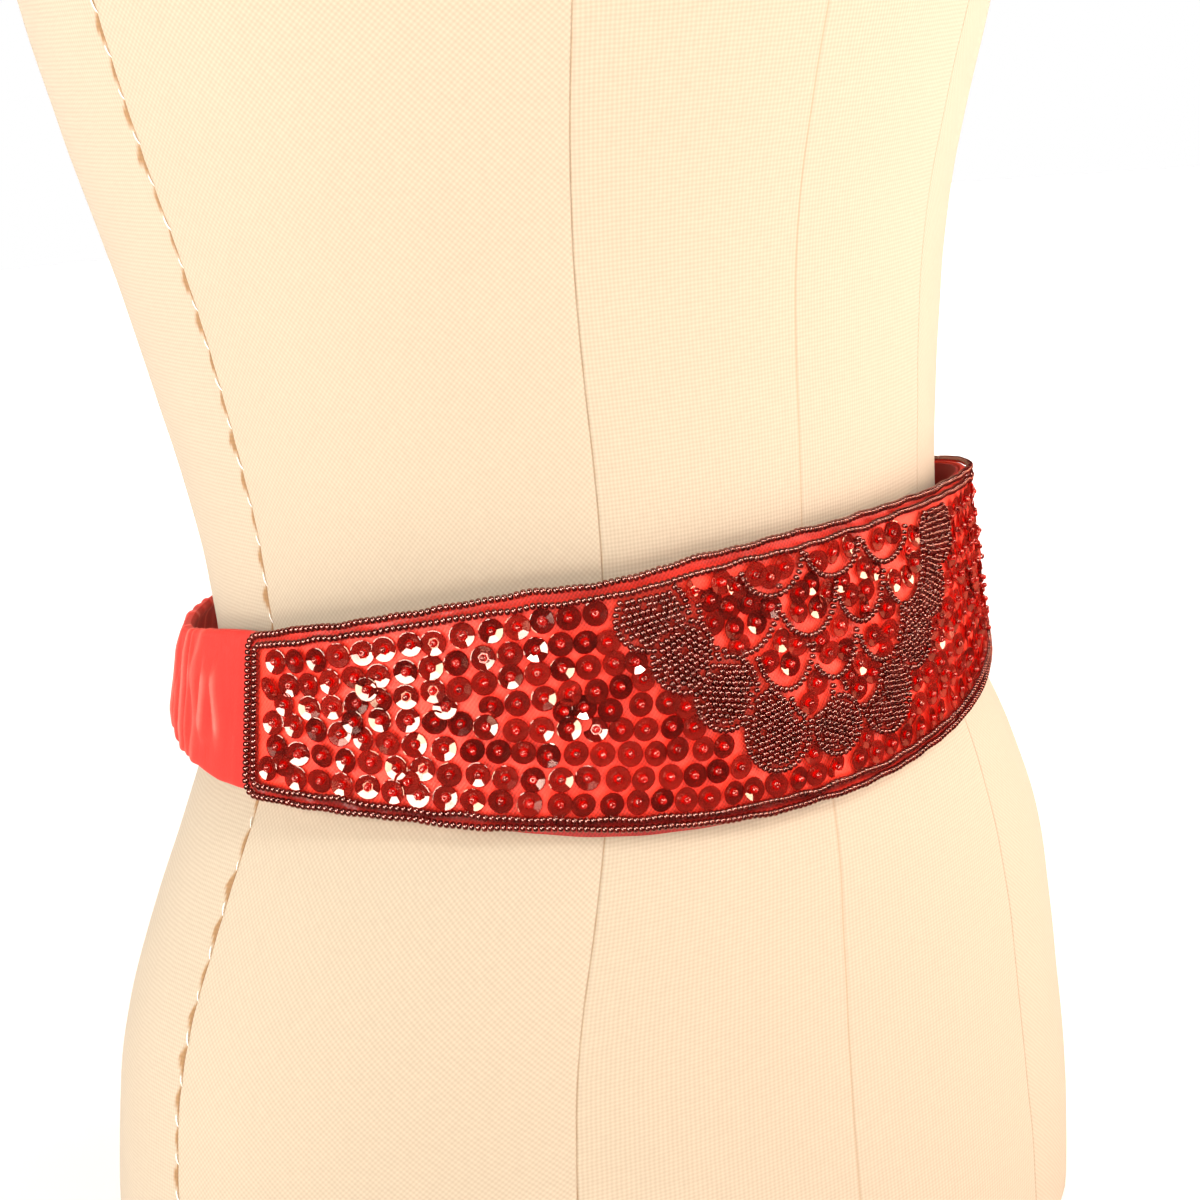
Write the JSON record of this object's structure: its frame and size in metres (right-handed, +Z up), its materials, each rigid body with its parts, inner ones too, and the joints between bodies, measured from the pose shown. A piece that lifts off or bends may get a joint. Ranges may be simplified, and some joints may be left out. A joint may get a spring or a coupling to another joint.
{
  "type": "beaded cummerbund on a dress form",
  "caption": "Shaped satin belt with sequins, beaded edges and a scalloped bead garland, closed by a gathered elastic band, on a limbless linen dress form with a flat base.",
  "frame": {"origin": "middle of the dress form's footprint, on the surface it stands on", "axes": "+Z up through the neck, -Y towards the front of the wearer, +X towards the wearer's left"},
  "size_m": [0.3128, 0.2317, 0.62],
  "materials": {
    "form_linen": "plain woven linen, matte",
    "panel_satin": "red satin, glossy along the weft",
    "lining_satin": "red lining satin",
    "band_crepe": "matte red crepe, gathered",
    "glass_beads": "dark red glass seed beads, polished",
    "sequin_film": "translucent dark red cupped sequins, glossy"
  },
  "bodies": {
    "root": {"dress_form": "form_linen", "front_panel": "panel_satin", "panel_lining": "lining_satin", "back_band": "band_crepe", "edge_bead_row": "glass_beads", "inner_bead_row": "glass_beads", "beaded_garland": "glass_beads"}
  },
  "joints": []
}
